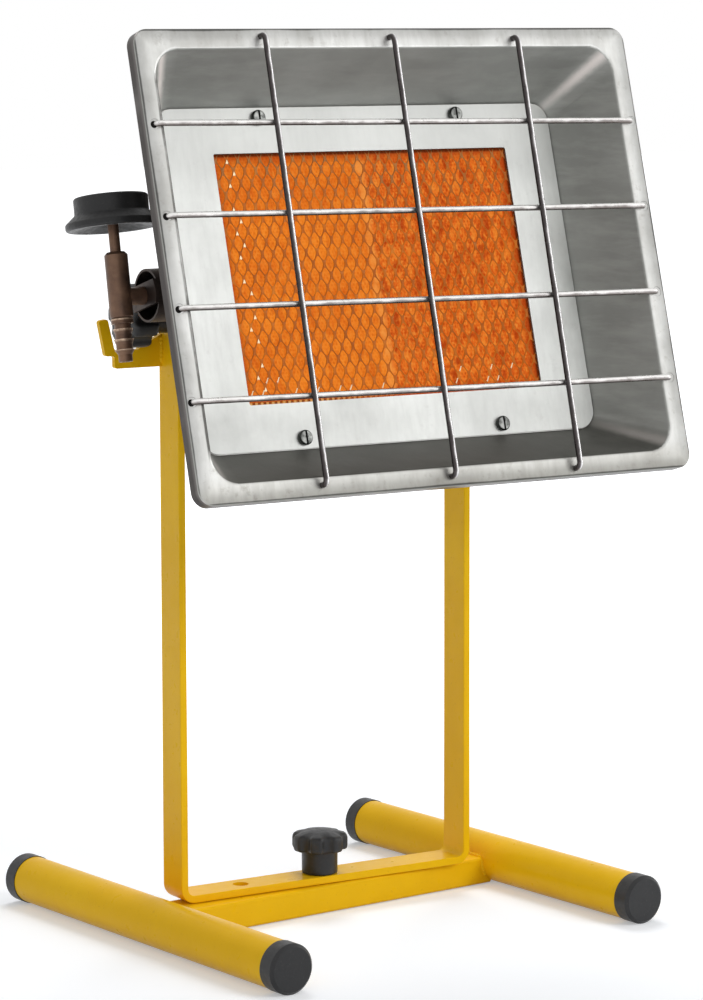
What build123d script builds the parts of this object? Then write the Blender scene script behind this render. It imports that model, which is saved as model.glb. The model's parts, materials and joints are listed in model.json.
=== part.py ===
"""Portable infrared gas heater: a ceramic burner in a stainless reflector, on a low steel stand.

Millimetres, +Z up. The origin is on the floor, in the middle of the whole heater's footprint.
The burner faces -Y, and its tilt axis lies along X. The stand's feet are turned a little about
the swivel bolt, so they have a frame of their own.
"""

from build123d import *
import os

# Where the swivel bolt stands, and how things are turned
swivel_x = 6.1
swivel_y = 9.3
base_turn_angle = 5.4
head_tilt_angle = 15.9

# Fits and gaps
running_clearance = 0.05
seat_clearance = 0.05
body_gap = 0.3
bolt_clearance = 0.3

# Feet and crossbar
foot_radius = 12.5
foot_wall = 1.5
foot_spacing = 230.0
foot_front_reach = 132.7
foot_back_reach = 114.0
cap_oversize = 0.4
cap_head_length = 10.0
cap_edge_chamfer = 1.6
cap_plug_length = 14.0
cap_plug_rib = 0.5
cap_plug_neck = 3.0
bar_depth = 25.0
bar_height = 15.0
bar_wall = 1.5
bar_corner = 1.8
bar_rise = 0.4
bar_weld_reach = 6.0

# Yoke
yoke_width = 180.0
strip_width = 20.0
strip_thickness = 4.0
strip_bend = 8.0
strip_edge = 0.5
pivot_height = 324.3
head_rise = 3.37
spare_hole_x = -49.0
spare_hole_radius = 4.25

# Hose hook on the yoke's left leg
hook_thickness = 3.0
hook_arm_length = 27.4
hook_arm_height = 9.5
hook_arm_drop = 27.6
hook_gusset_length = 14.0
hook_gusset_height = 17.0
hook_finger_width = 5.3
hook_finger_height = 25.0
hook_finger_lean = 3.8
hook_finger_slope = 0.8
hook_step_height = 6.6

# Clamping knobs, their studs and nuts
stud_radius = 4.0
knob_hub_radius = 9.6
knob_hub_height = 12.5
base_knob_radius = 15.0
base_knob_head_height = 11.0
tilt_knob_radius = 16.5
tilt_knob_head_height = 15.0
knob_lobes = 7
knob_flute_share = 0.28
knob_flute_depth_share = 0.17
knob_lobe_rounding = 1.4
knob_edge = 1.4
knob_bore_depth = 16.0
nut_flats = 13.0
nut_height = 6.5
base_stud_tail = 2.0
tilt_stud_tail = 2.0

# Reflector
sheet = 1.0
rim_width = 293.0
rim_height = 235.9
rim_corner = 8.0
flange_width = 10.0
rim_lip = 7.5
rim_edge = 0.9
rim_bend = 2.0
opening_corner = 14.0
tray_depth = 40.0
floor_corner = 10.0

# Front plate and its screws
plate_thickness = 1.0
plate_side_margin = 20.55
plate_edge_margin = 5.2
plate_gap = 0.4
window_side_lap = 3.95
window_edge_lap = 1.75
window_corner = 1.0
screw_spacing = 119.2
screw_row_offset = 10.9
screw_radius = 2.0
screw_head_radius = 3.9
screw_head_height = 2.6
screw_head_edge = 1.2
screw_slot_width = 1.1
screw_slot_depth = 1.0
screw_length = 10.0
screw_nut_flats = 7.0
screw_nut_height = 3.2

# Mesh, ceramic plaques and what holds them
mesh_thickness = 0.8
mesh_margin = 0.3
mesh_pitch_x = 10.0
mesh_pitch_y = 16.0
mesh_strand = 1.3
mesh_border = 3.0
plaque_width = 92.0
plaque_height = 132.0
plaque_thickness = 13.0
plaque_recess = 1.2
plaque_joint = 0.3
gasket_thickness = 4.5
seat_thickness = 1.0
seat_overlap = 4.0

# Burner box
box_corner = 12.0
box_side_flange = 9.0
box_flange_margin = 3.6

# Mixing tube, valve and hose inlet
tube_radius = 13.5
tube_wall = 1.2
tube_knob_gap = 4.16
tube_seat_gap = 1.5
tube_box_gap = 1.0
tube_overhang = 21.95
tube_end_x = 60.0
holder_width = 12.4
holder_thickness = 2.0
valve_stand_off = 15.2
valve_lean_angle = 5.5
valve_radius = 5.9
valve_top = 22.5
valve_bottom = 11.0
valve_edge = 1.0
valve_shoulder = 1.4
outlet_radius = 4.6
outlet_reach = 1.5
injector_radius = 3.4
injector_length = 12.0
injector_taper = 4.0
injector_tip_radius = 2.0
jet_radius = 0.5
gland_radius = 4.1
gland_height = 4.0
gland_recess = 0.4
gland_slot_width = 1.2
gland_slot_depth = 1.0
stem_radius = 2.75
stem_depth = 14.0
stem_gap = 2.0
barb_collar_radius = 5.6
barb_collar_height = 2.5
barb_root_radius = 4.2
barb_ridge_radius = 5.1
barb_ridge_pitch = 5.2
barb_ridges = 3
barb_nose = 3.5
barb_nose_radius = 3.5
barb_bore_radius = 2.2

# Valve handwheel
wheel_bottom = 34.3
wheel_height = 16.5
wheel_radius = 23.9
wheel_crown_radius = 18.8
wheel_crown_height = 8.6
wheel_rim_height = 3.4
wheel_dish = 4.5
wheel_dish_radius = 20.6
wheel_hub_radius = 6.0
wheel_socket = 6.0
wheel_edge = 1.3

# Brackets from the burner box to the tilt axis
bracket_sheet = 2.0
bracket_radius = 14.0
bracket_foot = 26.0

# Guard wires
wire_radius = 1.5
wire_rows = 4
wire_row_spacing = 45.8
wire_columns = 3
wire_column_spacing = 75.3
wire_column_shift = -0.8
guard_turn_angle = -0.65
wire_bend = 3.0
wire_tail = 3.0
wire_hole_clearance = 0.1
row_hole_radius = 2.6
row_hole_shift = 0.5


def at(frame, x, y, z, turn=(0, 0, 0)):
    """The plane at a point of a frame, turned about the frame's own axes."""
    return Plane(frame.location * Location((x, y, z), turn))


def finish(part, name):
    """Labels a finished piece and writes its file."""
    part.label = name
    export_step(part, f"parts/{name}.step")


# Frames: x to the right, y to the back, z up, and in the head z towards the front
along_x = (0, 90, 0)
along_x_upright = (0, 90, 90)
along_y = (-90, 0, 0)
downward = (180, 0, 0)
stand = Plane((swivel_x, swivel_y, 0))
base = at(stand, 0, 0, 0, (0, 0, base_turn_angle))
pivot = at(stand, 0, 0, pivot_height, (90 - head_tilt_angle, 0, 0))
head = at(pivot, 0, head_rise, 0)
guard = at(head, 0, 0, 0, (0, 0, guard_turn_angle))
forward = Axis(head.origin, head.z_dir)
upward = Axis(head.origin, head.y_dir)

# Heights in the stand
cap_radius = foot_radius + cap_oversize
foot_height = cap_radius
bar_top = bar_rise + bar_height
strip_bottom = bar_top + body_gap
strip_top = strip_bottom + strip_thickness
half_spacing = foot_spacing / 2
half_yoke = yoke_width / 2
leg_inner = half_yoke - strip_thickness

# Depths in the head, stacked forward from the tilt axis
tube_back = tilt_knob_radius + tube_knob_gap
tube_reach = tube_back + tube_radius
seat_back = tube_reach + tube_radius + tube_seat_gap
plaque_back = seat_back + seat_thickness
plaque_front = plaque_back + plaque_thickness
mesh_back = plaque_front + plaque_recess
floor_front = mesh_back + mesh_thickness
floor_back = floor_front - sheet
plate_front = floor_front + plate_thickness
rim_reach = plate_front + tray_depth
box_back = tube_back - tube_box_gap - sheet
box_depth = floor_back - box_back

# Sizes across the head, from the plaques outwards
block_width = 2 * plaque_width + plaque_joint
box_inner_width = block_width + 2 * gasket_thickness
box_inner_height = plaque_height + 2 * gasket_thickness
box_width = box_inner_width + 2 * sheet
box_height = box_inner_height + 2 * sheet
window_width = block_width - 2 * window_side_lap
window_height = plaque_height - 2 * window_edge_lap
screw_row_spacing = box_height + 2 * screw_row_offset
flange_width_x = box_width + 2 * box_side_flange
flange_width_y = screw_row_spacing + 2 * box_flange_margin
plate_width = box_width + 2 * plate_side_margin
plate_height = screw_row_spacing + 2 * plate_edge_margin
floor_width = plate_width + 2 * plate_gap
floor_height = plate_height + 2 * plate_gap
opening_width = rim_width - 2 * flange_width
opening_height = rim_height - 2 * flange_width
tube_mouth_x = -(box_width / 2 + tube_overhang)
valve_x = tube_mouth_x - valve_stand_off
valve = at(head, valve_x, 0, tube_reach, (valve_lean_angle, 0, 0))

os.makedirs("parts", exist_ok=True)


# ---- Feet ----------------------------------------------------------------------------------

tube_front_y = -(foot_front_reach - cap_head_length)
tube_length = foot_front_reach + foot_back_reach - 2 * cap_head_length

for side, name in ((-1, "left"), (1, "right")):
    with BuildPart() as foot_tube:
        with BuildSketch(at(base, side * half_spacing, tube_front_y, foot_height, along_y)):
            Circle(foot_radius)
            Circle(foot_radius - foot_wall, mode=Mode.SUBTRACT)
        extrude(amount=tube_length)
    finish(foot_tube.part, f"foot_tube_{name}")

    for end, end_name in ((-1, "front"), (1, "back")):
        mouth_y = tube_front_y if end < 0 else tube_front_y + tube_length
        mouth = at(base, side * half_spacing, mouth_y, foot_height, (-90 * end, 0, 0))
        plug_radius = foot_radius - foot_wall - seat_clearance
        with BuildPart() as foot_cap:
            with BuildSketch(mouth):
                Circle(cap_radius)
            extrude(amount=cap_head_length)
            chamfer(foot_cap.faces().sort_by(Axis(mouth.origin, mouth.z_dir))[-1].edges(), cap_edge_chamfer)
            with BuildSketch(mouth):
                Circle(plug_radius - cap_plug_rib)
            extrude(amount=-cap_plug_length)
            for rib in (cap_plug_neck, cap_plug_length - cap_plug_neck):
                with BuildSketch(mouth.offset(-rib)):
                    Circle(plug_radius)
                extrude(amount=cap_plug_neck / 2)
        finish(foot_cap.part, f"foot_cap_{end_name}_{name}")


# ---- Crossbar ------------------------------------------------------------------------------

bar_reach = half_spacing - foot_radius + bar_weld_reach

with BuildPart() as crossbar:
    with BuildSketch(at(base, -bar_reach, 0, bar_rise + bar_height / 2, along_x)):
        RectangleRounded(bar_height, bar_depth, bar_corner)
        Rectangle(bar_height - 2 * bar_wall, bar_depth - 2 * bar_wall, mode=Mode.SUBTRACT)
    extrude(amount=2 * bar_reach)
    for side in (-1, 1):
        with BuildSketch(at(base, side * half_spacing, -bar_depth, foot_height, along_y)):
            Circle(foot_radius + seat_clearance)
        extrude(amount=2 * bar_depth, mode=Mode.SUBTRACT)
    with BuildSketch(at(base, 0, 0, bar_top)):
        Circle(stud_radius + bolt_clearance)
    extrude(amount=-2 * bar_wall, mode=Mode.SUBTRACT)
finish(crossbar.part, "crossbar")

nut_seat = bar_top - bar_wall


def hex_nut(seat, flats, height, bore):
    """A hexagon nut that stands on a plane."""
    with BuildPart() as nut:
        with BuildSketch(seat):
            RegularPolygon(flats / 2, 6, major_radius=False)
            Circle(bore, mode=Mode.SUBTRACT)
        extrude(amount=height)
    return nut.part


finish(
    hex_nut(at(base, 0, 0, nut_seat, downward), nut_flats, nut_height, stud_radius + running_clearance),
    "base_weld_nut",
)


# ---- Yoke ----------------------------------------------------------------------------------

leg_end_radius = strip_width / 2
leg_top = pivot_height + leg_end_radius

with BuildPart() as yoke_strip:
    with BuildSketch(at(stand, 0, -strip_width / 2, 0, (90, 0, 0))) as profile:
        with Locations((0, (strip_bottom + leg_top) / 2)):
            Rectangle(yoke_width, leg_top - strip_bottom)
        fillet(profile.vertices().group_by(Axis.Y)[0], strip_bend)
        with BuildSketch(mode=Mode.SUBTRACT) as hollow:
            with Locations((0, (strip_top + leg_top + strip_bend) / 2)):
                Rectangle(2 * leg_inner, leg_top + strip_bend - strip_top)
            fillet(hollow.vertices().group_by(Axis.Y)[0], strip_bend - strip_thickness)
    extrude(amount=-strip_width)
    with BuildSketch(at(stand, -half_yoke, 0, 0, along_x_upright)):
        with Locations((0, pivot_height / 2)):
            Rectangle(strip_width, pivot_height)
        with Locations((0, pivot_height)):
            Circle(leg_end_radius)
    extrude(amount=yoke_width, mode=Mode.INTERSECT)
    long_edges = yoke_strip.edges().filter_by(Axis.Y, reverse=True).filter_by(
        lambda edge: edge.length > strip_thickness + strip_edge
    )
    fillet(long_edges, strip_edge)
    with BuildSketch(at(stand, -half_yoke, 0, pivot_height, along_x)):
        Circle(stud_radius + bolt_clearance)
    extrude(amount=yoke_width, mode=Mode.SUBTRACT)
    with BuildSketch(at(stand, 0, 0, strip_bottom)):
        Circle(stud_radius + bolt_clearance)
        with Locations((spare_hole_x, 0)):
            Circle(spare_hole_radius)
    extrude(amount=strip_thickness, mode=Mode.SUBTRACT)
finish(yoke_strip.part, "yoke_strip")

hook_bottom = pivot_height - hook_arm_drop
finger_foot = -half_yoke - hook_arm_length

with BuildPart() as hose_hook:
    with BuildSketch(at(stand, 0, strip_width / 2, 0, (90, 0, 0))) as plate:
        with BuildLine():
            Polyline(
                (-half_yoke, hook_bottom),
                (finger_foot, hook_bottom),
                (finger_foot, hook_bottom + hook_step_height),
                (finger_foot - hook_finger_width, hook_bottom + hook_step_height),
                (finger_foot - hook_finger_width - hook_finger_lean, hook_bottom + hook_finger_height),
                (finger_foot - hook_finger_lean, hook_bottom + hook_finger_height + hook_finger_slope),
                (finger_foot, hook_bottom + hook_arm_height),
                (-half_yoke - hook_gusset_length, hook_bottom + hook_arm_height),
                (-half_yoke, hook_bottom + hook_gusset_height),
                close=True,
            )
        make_face()
        fillet(plate.vertices().group_by(Axis.X)[:-1], hook_thickness / 2)
    extrude(amount=hook_thickness)
finish(hose_hook.part, "hose_hook")


# ---- Clamping knobs ------------------------------------------------------------------------

def star_knob(seat, radius, head_height):
    """A star knob whose hub stands on a plane, with a blind bore for its stud."""
    flute_radius = radius * knob_flute_share
    flute_depth = radius * knob_flute_depth_share
    with BuildPart() as knob:
        with BuildSketch(seat.offset(knob_hub_height)) as star:
            Circle(radius)
            with PolarLocations(radius + flute_radius - flute_depth, knob_lobes):
                Circle(flute_radius, mode=Mode.SUBTRACT)
            fillet(star.vertices(), knob_lobe_rounding)
        extrude(amount=head_height)
        rise = Axis(seat.origin, seat.z_dir)
        fillet(knob.faces().sort_by(rise)[-1].edges(), knob_edge)
        with BuildSketch(seat):
            Circle(knob_hub_radius)
        extrude(amount=knob_hub_height)
        with BuildSketch(seat):
            Circle(stud_radius + seat_clearance)
        extrude(amount=knob_bore_depth, mode=Mode.SUBTRACT)
    return knob.part


def knob_stud(seat, reach):
    """The stud of a star knob: from the bottom of its bore to a reach behind the seat."""
    with BuildPart() as stud:
        with BuildSketch(seat.offset(-reach)):
            Circle(stud_radius)
        extrude(amount=reach + knob_bore_depth - seat_clearance)
    return stud.part


base_knob_seat = at(stand, 0, 0, strip_top + body_gap)
finish(star_knob(base_knob_seat, base_knob_radius, base_knob_head_height), "base_knob")
base_stud_reach = base_knob_seat.origin.Z - nut_seat + nut_height + base_stud_tail
finish(knob_stud(base_knob_seat, base_stud_reach), "base_knob_stud")

ear_outer = leg_inner - body_gap
ear_inner = ear_outer - bracket_sheet
tilt_stud_reach = half_yoke + body_gap - ear_inner + nut_height + tilt_stud_tail

for side, name in ((-1, "left"), (1, "right")):
    tilt_seat = at(stand, side * (half_yoke + body_gap), 0, pivot_height, (0, 90 * side, 0))
    finish(star_knob(tilt_seat, tilt_knob_radius, tilt_knob_head_height), f"tilt_knob_{name}")
    finish(knob_stud(tilt_seat, tilt_stud_reach), f"tilt_knob_stud_{name}")
    nut_plane = at(pivot, side * ear_inner, 0, 0, (0, -90 * side, 0))
    pivot_nut = hex_nut(nut_plane, nut_flats, nut_height, stud_radius + running_clearance)
    finish(pivot_nut, f"pivot_nut_{name}")


# ---- Reflector -----------------------------------------------------------------------------

screw_places = GridLocations(screw_spacing, screw_row_spacing, 2, 2)
wire_tail_x = rim_width / 2 - flange_width / 2
wire_tail_y = rim_height / 2 - flange_width / 2
wire_row_y = [((wire_rows - 1) / 2 - i) * wire_row_spacing for i in range(wire_rows)]
middle_column = (wire_columns - 1) / 2
wire_column_x = [(i - middle_column) * wire_column_spacing + wire_column_shift for i in range(wire_columns)]

with BuildPart() as reflector:
    with BuildSketch(head.offset(floor_back)):
        RectangleRounded(floor_width + 2 * sheet, floor_height + 2 * sheet, floor_corner + sheet)
    with BuildSketch(head.offset(rim_reach)):
        RectangleRounded(opening_width + 2 * sheet, opening_height + 2 * sheet, opening_corner + sheet)
    loft()
    with BuildSketch(head.offset(rim_reach)):
        RectangleRounded(rim_width, rim_height, rim_corner)
    extrude(amount=-sheet)
    with BuildSketch(head.offset(rim_reach)):
        RectangleRounded(rim_width, rim_height, rim_corner)
        offset(amount=-sheet, mode=Mode.SUBTRACT)
    extrude(amount=-rim_lip)
    rim_outline = reflector.faces().sort_by(forward)[-1].outer_wire()
    fillet(rim_outline.edges(), rim_edge)
    with BuildSketch(head.offset(floor_front)):
        RectangleRounded(floor_width, floor_height, floor_corner)
    with BuildSketch(head.offset(rim_reach)):
        RectangleRounded(opening_width, opening_height, opening_corner)
    loft(mode=Mode.SUBTRACT)
    rim_face = reflector.faces().filter_by(GeomType.PLANE).sort_by(forward)[-1]
    fillet(rim_face.inner_wires()[0].edges(), rim_bend)
    with BuildSketch(head.offset(floor_back)):
        RectangleRounded(box_inner_width, box_inner_height, box_corner - sheet)
        with screw_places:
            Circle(screw_radius + bolt_clearance)
    extrude(amount=sheet, mode=Mode.SUBTRACT)
    with BuildSketch(guard.offset(rim_reach)):
        for x in wire_column_x:
            with Locations((x, wire_tail_y), (x, -wire_tail_y)):
                Circle(wire_radius + wire_hole_clearance)
        for y in wire_row_y:
            with Locations((-wire_tail_x - row_hole_shift, y), (wire_tail_x + row_hole_shift, y)):
                Circle(row_hole_radius)
    extrude(amount=-sheet, mode=Mode.SUBTRACT)
finish(reflector.part, "reflector")


# ---- Front plate ---------------------------------------------------------------------------

with BuildPart() as front_plate:
    with BuildSketch(head.offset(floor_front)):
        RectangleRounded(plate_width, plate_height, floor_corner - plate_gap)
        RectangleRounded(window_width, window_height, window_corner, mode=Mode.SUBTRACT)
        with screw_places:
            Circle(screw_radius + bolt_clearance, mode=Mode.SUBTRACT)
    extrude(amount=plate_thickness)
finish(front_plate.part, "front_plate")

with BuildPart() as plate_screws:
    with BuildSketch(head.offset(plate_front)):
        with screw_places:
            Circle(screw_head_radius)
    extrude(amount=screw_head_height)
    fillet(plate_screws.faces().group_by(forward)[-1].edges(), screw_head_edge)
    with BuildSketch(head.offset(plate_front + screw_head_height)):
        with screw_places:
            Rectangle(screw_slot_width, screw_head_radius * 2)
    extrude(amount=-screw_slot_depth, mode=Mode.SUBTRACT)
    with BuildSketch(head.offset(plate_front)):
        with screw_places:
            Circle(screw_radius)
    extrude(amount=-screw_length)
finish(plate_screws.part, "plate_screws")

with BuildPart() as plate_nuts:
    with BuildSketch(head.offset(floor_back - sheet)):
        with screw_places:
            RegularPolygon(screw_nut_flats / 2, 6, major_radius=False)
            Circle(screw_radius + seat_clearance, mode=Mode.SUBTRACT)
    extrude(amount=-screw_nut_height)
finish(plate_nuts.part, "plate_nuts")


# ---- Mesh, plaques and their seat ----------------------------------------------------------

mesh_width = box_inner_width - 2 * mesh_margin
mesh_height = box_inner_height - 2 * mesh_margin
mesh_columns = int((mesh_width - 2 * mesh_border) / mesh_pitch_x)
mesh_rows = int((mesh_height - 2 * mesh_border) / mesh_pitch_y)
hole_x = mesh_pitch_x / 2 - mesh_strand / 2
hole_y = mesh_pitch_y / 2 - mesh_strand

with BuildPart() as burner_mesh:
    with BuildSketch(head.offset(mesh_back)):
        RectangleRounded(mesh_width, mesh_height, box_corner - sheet - mesh_margin)
        with GridLocations(mesh_pitch_x, mesh_pitch_y, mesh_columns, mesh_rows):
            Polygon((hole_x, 0), (0, hole_y), (-hole_x, 0), (0, -hole_y), mode=Mode.SUBTRACT)
        with GridLocations(mesh_pitch_x, mesh_pitch_y, mesh_columns - 1, mesh_rows - 1):
            Polygon((hole_x, 0), (0, hole_y), (-hole_x, 0), (0, -hole_y), mode=Mode.SUBTRACT)
    extrude(amount=mesh_thickness)
finish(burner_mesh.part, "burner_mesh")

for side, name in ((-1, "left"), (1, "right")):
    with BuildPart() as plaque:
        with BuildSketch(at(head, side * (plaque_width + plaque_joint) / 2, 0, plaque_back)):
            Rectangle(plaque_width, plaque_height)
        extrude(amount=plaque_thickness)
    finish(plaque.part, f"plaque_{name}")

with BuildPart() as plaque_gasket:
    with BuildSketch(head.offset(plaque_back)):
        RectangleRounded(box_inner_width, box_inner_height, box_corner - sheet)
        Rectangle(block_width, plaque_height, mode=Mode.SUBTRACT)
    extrude(amount=plaque_thickness)
finish(plaque_gasket.part, "plaque_gasket")

with BuildPart() as plaque_seat:
    with BuildSketch(head.offset(seat_back)):
        RectangleRounded(box_inner_width, box_inner_height, box_corner - sheet)
        Rectangle(block_width - 2 * seat_overlap, plaque_height - 2 * seat_overlap, mode=Mode.SUBTRACT)
    extrude(amount=seat_thickness)
finish(plaque_seat.part, "plaque_seat")

with BuildPart() as burner_box:
    with BuildSketch(head.offset(box_back)):
        RectangleRounded(box_width, box_height, box_corner)
    extrude(amount=box_depth)
    with BuildSketch(head.offset(floor_back)):
        RectangleRounded(flange_width_x, flange_width_y, box_corner)
        with screw_places:
            Circle(screw_radius + bolt_clearance, mode=Mode.SUBTRACT)
    extrude(amount=-sheet)
    fillet(burner_box.faces().sort_by(forward)[0].edges(), 3 * sheet)
    with BuildSketch(head.offset(floor_back)):
        RectangleRounded(box_inner_width, box_inner_height, box_corner - sheet)
    extrude(amount=-(box_depth - sheet), mode=Mode.SUBTRACT)
    with BuildSketch(at(head, -box_width / 2, 0, tube_reach, along_x)):
        Circle(tube_radius + seat_clearance)
    extrude(amount=2 * sheet, mode=Mode.SUBTRACT)
finish(burner_box.part, "burner_box")

for side, name in ((-1, "left"), (1, "right")):
    with BuildPart() as head_bracket:
        with BuildSketch(at(pivot, side * (ear_outer + ear_inner) / 2, 0, 0, along_x)):
            with Locations((-box_back / 2, 0)):
                Rectangle(box_back, 2 * bracket_radius)
            Circle(bracket_radius)
            Circle(stud_radius + bolt_clearance, mode=Mode.SUBTRACT)
        extrude(amount=bracket_sheet / 2, both=True)
        with BuildSketch(at(pivot, side * (ear_outer - bracket_foot / 2), 0, box_back)):
            Rectangle(bracket_foot, 2 * bracket_radius)
        extrude(amount=-bracket_sheet)
    finish(head_bracket.part, f"head_bracket_{name}")


# ---- Mixing tube, injector and valve -------------------------------------------------------

with BuildPart() as mixing_tube:
    with BuildSketch(at(head, tube_mouth_x, 0, tube_reach, along_x)):
        Circle(tube_radius)
        Circle(tube_radius - tube_wall, mode=Mode.SUBTRACT)
    extrude(amount=tube_end_x - tube_mouth_x)
finish(mixing_tube.part, "mixing_tube")

with BuildPart() as jet_holder:
    with BuildSketch(at(head, tube_mouth_x - holder_thickness, 0, tube_reach, along_x)):
        Circle(tube_radius)
        for side in (-1, 1):
            with Locations((0, side * (tube_radius + holder_width / 2))):
                Rectangle(2 * tube_radius, 2 * tube_radius, mode=Mode.SUBTRACT)
        Circle(outlet_radius + seat_clearance, mode=Mode.SUBTRACT)
    extrude(amount=holder_thickness)
finish(jet_holder.part, "jet_holder")

outlet_end = tube_mouth_x + outlet_reach

with BuildPart() as valve_body:
    with BuildSketch(at(valve, 0, -valve_bottom, 0, along_y)):
        Circle(valve_radius)
    extrude(amount=valve_top + valve_bottom)
    chamfer(valve_body.edges().filter_by(GeomType.CIRCLE).sort_by(upward)[-1], valve_shoulder)
    chamfer(valve_body.edges().filter_by(GeomType.CIRCLE).sort_by(upward)[0], valve_edge)
    with BuildSketch(at(valve, 0, 0, 0, along_x)):
        Circle(outlet_radius)
    extrude(amount=outlet_end - valve_x)
    with BuildSketch(at(valve, 0, valve_top, 0, along_y)):
        Circle(gland_radius + seat_clearance)
    extrude(amount=-gland_height, mode=Mode.SUBTRACT)
    with BuildSketch(at(valve, 0, valve_top, 0, along_y)):
        Circle(stem_radius + running_clearance)
    extrude(amount=-stem_depth, mode=Mode.SUBTRACT)
    with BuildSketch(at(valve, 0, 0, 0, along_x)):
        Circle(injector_tip_radius)
    extrude(amount=outlet_end - valve_x, mode=Mode.SUBTRACT)
    with BuildSketch(at(valve, 0, -valve_bottom, 0, along_y)):
        Circle(barb_bore_radius)
    extrude(amount=valve_bottom, mode=Mode.SUBTRACT)
finish(valve_body.part, "valve_body")

with BuildPart() as injector:
    with BuildSketch(at(head, outlet_end, 0, tube_reach, along_x)):
        Circle(injector_radius)
    extrude(amount=injector_length - injector_taper)
    with BuildSketch(at(head, outlet_end + injector_length - injector_taper, 0, tube_reach, along_x)):
        Circle(injector_radius)
    with BuildSketch(at(head, outlet_end + injector_length, 0, tube_reach, along_x)):
        Circle(injector_tip_radius)
    loft()
    with BuildSketch(at(head, outlet_end, 0, tube_reach, along_x)):
        Circle(jet_radius)
    extrude(amount=injector_length, mode=Mode.SUBTRACT)
finish(injector.part, "injector")

with BuildPart() as gland_nut:
    with BuildSketch(at(valve, 0, valve_top - gland_height, 0, along_y)):
        Circle(gland_radius)
        Circle(stem_radius + running_clearance, mode=Mode.SUBTRACT)
    extrude(amount=gland_height - gland_recess)
    with BuildSketch(at(valve, 0, valve_top - gland_recess, 0, along_y)):
        Rectangle(gland_slot_width, 2 * gland_radius)
    extrude(amount=-gland_slot_depth, mode=Mode.SUBTRACT)
finish(gland_nut.part, "gland_nut")

with BuildPart() as hose_barb:
    barb_plane = at(valve, 0, -valve_bottom, 0, (0, 0, -90))
    with BuildSketch(barb_plane):
        with BuildLine():
            outline = [(0, 0), (0, barb_collar_radius), (barb_collar_height, barb_collar_radius)]
            reach = barb_collar_height
            for ridge in range(barb_ridges):
                outline.append((reach, barb_root_radius))
                reach += barb_ridge_pitch / 2
                outline.append((reach, barb_root_radius))
                outline.append((reach, barb_ridge_radius))
                reach += barb_ridge_pitch / 2
            outline.append((reach, barb_nose_radius))
            outline.append((reach + barb_nose, barb_nose_radius))
            outline.append((reach + barb_nose, 0))
            Polyline(*outline, close=True)
        make_face()
    revolve(axis=Axis(barb_plane.origin, barb_plane.x_dir))
    with BuildSketch(at(valve, 0, -valve_bottom, 0, along_y)):
        Circle(barb_bore_radius)
    extrude(amount=-(reach + barb_nose), mode=Mode.SUBTRACT)
finish(hose_barb.part, "hose_barb")


# ---- Valve handwheel -----------------------------------------------------------------------

wheel_plane = at(valve, 0, wheel_bottom, 0)

with BuildPart() as valve_handwheel:
    with BuildSketch(wheel_plane) as section:
        with BuildLine():
            Polyline(
                (0, wheel_height),
                (wheel_crown_radius, wheel_height),
                (wheel_crown_radius, wheel_height - wheel_crown_height),
                (wheel_radius, wheel_rim_height),
                (wheel_radius, 0),
                (wheel_dish_radius, 0),
                (wheel_hub_radius, wheel_dish),
                (0, wheel_dish),
                close=True,
            )
        make_face()
        corners = section.vertices().group_by(Axis.X)
        fillet(corners[-1] + corners[-2] + corners[-3], wheel_edge)
    revolve(axis=Axis(wheel_plane.origin, wheel_plane.y_dir))
    with BuildSketch(at(valve, 0, wheel_bottom + wheel_dish, 0, along_y)):
        Circle(stem_radius + seat_clearance)
    extrude(amount=wheel_socket, mode=Mode.SUBTRACT)
finish(valve_handwheel.part, "valve_handwheel")

stem_low = valve_top - stem_depth + stem_gap
stem_high = wheel_bottom + wheel_dish + wheel_socket - seat_clearance

with BuildPart() as valve_stem:
    with BuildSketch(at(valve, 0, stem_low, 0, along_y)):
        Circle(stem_radius)
    extrude(amount=stem_high - stem_low)
finish(valve_stem.part, "valve_stem")


# ---- Guard wires ---------------------------------------------------------------------------

row_depth = rim_reach + wire_radius
column_depth = row_depth + 2 * wire_radius
tail_depth = rim_reach - sheet - wire_tail


def guard_wire(corners):
    """A wire of the guard, swept along its corners in the guard's frame, with rounded bends."""
    with BuildPart() as wire:
        with BuildLine() as path:
            FilletPolyline(*[guard.from_local_coords(corner) for corner in corners], radius=wire_bend)
        with BuildSketch(Plane(path.line @ 0, z_dir=path.line % 0)):
            Circle(wire_radius)
        sweep()
    return wire.part


for row, y in enumerate(wire_row_y):
    left_to_right = (
        (-wire_tail_x, y, tail_depth),
        (-wire_tail_x, y, row_depth),
        (wire_tail_x, y, row_depth),
        (wire_tail_x, y, tail_depth),
    )
    finish(guard_wire(left_to_right), f"guard_wire_across_{row + 1}")

for column, x in enumerate(wire_column_x):
    bottom_to_top = (
        (x, -wire_tail_y, tail_depth),
        (x, -wire_tail_y, column_depth),
        (x, wire_tail_y, column_depth),
        (x, wire_tail_y, tail_depth),
    )
    finish(guard_wire(bottom_to_top), f"guard_wire_upright_{column + 1}")
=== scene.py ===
"""Looks for the portable infrared gas heater: finishes, fine pieces, studio and camera.

The scene is in metres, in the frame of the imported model. The heater's sizes are in millimetres, and MM
turns them into metres; heights of bumps, the floor and the lamps are in metres.
The head has a frame of its own: u to the right, v up and back, w out of the burner's face.
"""

import json
import math
import random

import bmesh
import bpy
from mathutils import Matrix, Vector


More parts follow.
